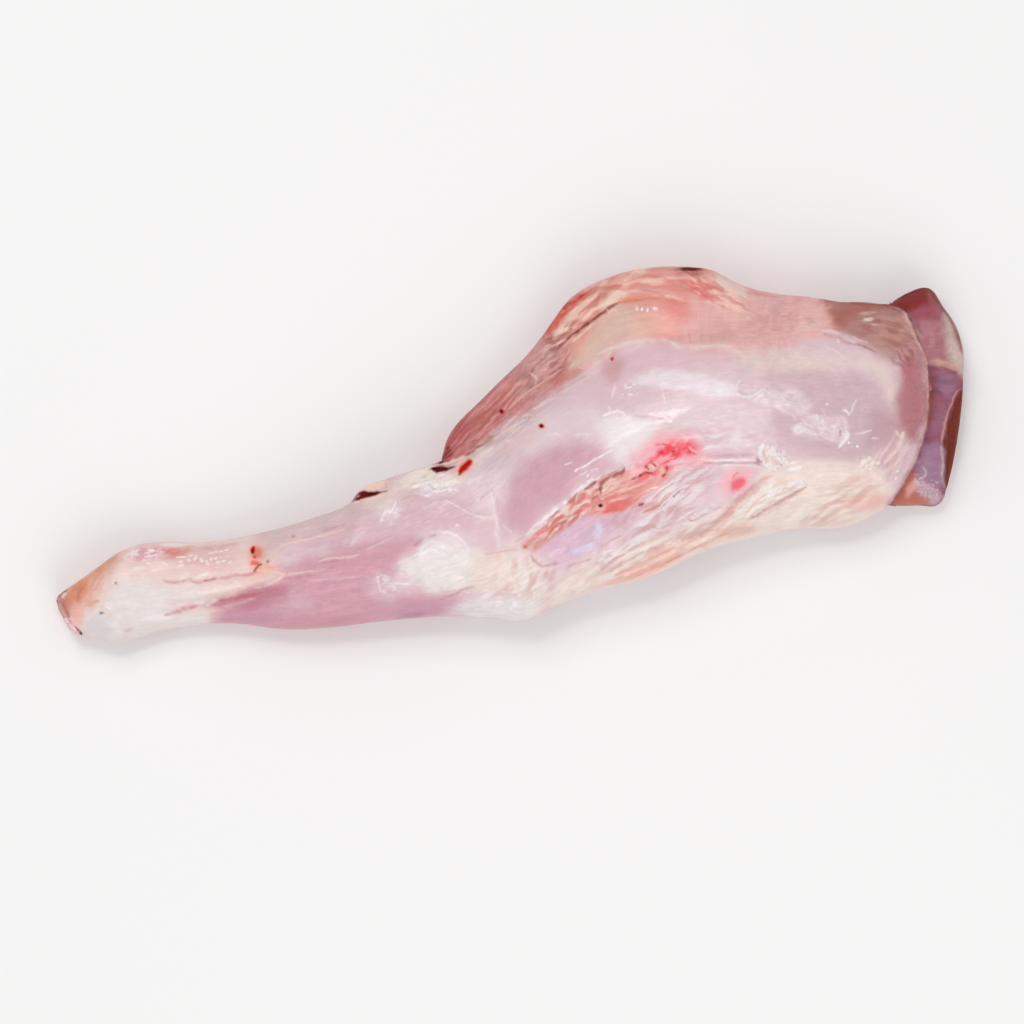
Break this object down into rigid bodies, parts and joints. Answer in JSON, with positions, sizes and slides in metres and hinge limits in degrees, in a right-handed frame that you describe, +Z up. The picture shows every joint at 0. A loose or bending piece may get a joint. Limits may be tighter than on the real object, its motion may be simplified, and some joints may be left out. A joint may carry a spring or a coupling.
{
  "type": "raw kid goat shoulder",
  "caption": "Raw kid goat shoulder with its foreshank, lying on its inner side: cut knuckle, forearm, elbow, plump upper arm, blade and a layer folded under the blade end.",
  "frame": {"origin": "middle of the underside, below the centre of the bounding box, on the surface that the meat lies on", "axes": "+X along the limb from the knuckle to the blade end, +Y across it towards the breast side, +Z up out of the outer face that shows"},
  "size_m": [0.351, 0.1458, 0.0574],
  "materials": {
    "raw_meat": "moist pink muscle under pale silverskin and cream fat, satin with wet highlights"
  },
  "bodies": {
    "root": {"goat_shoulder": "raw_meat"}
  },
  "joints": []
}
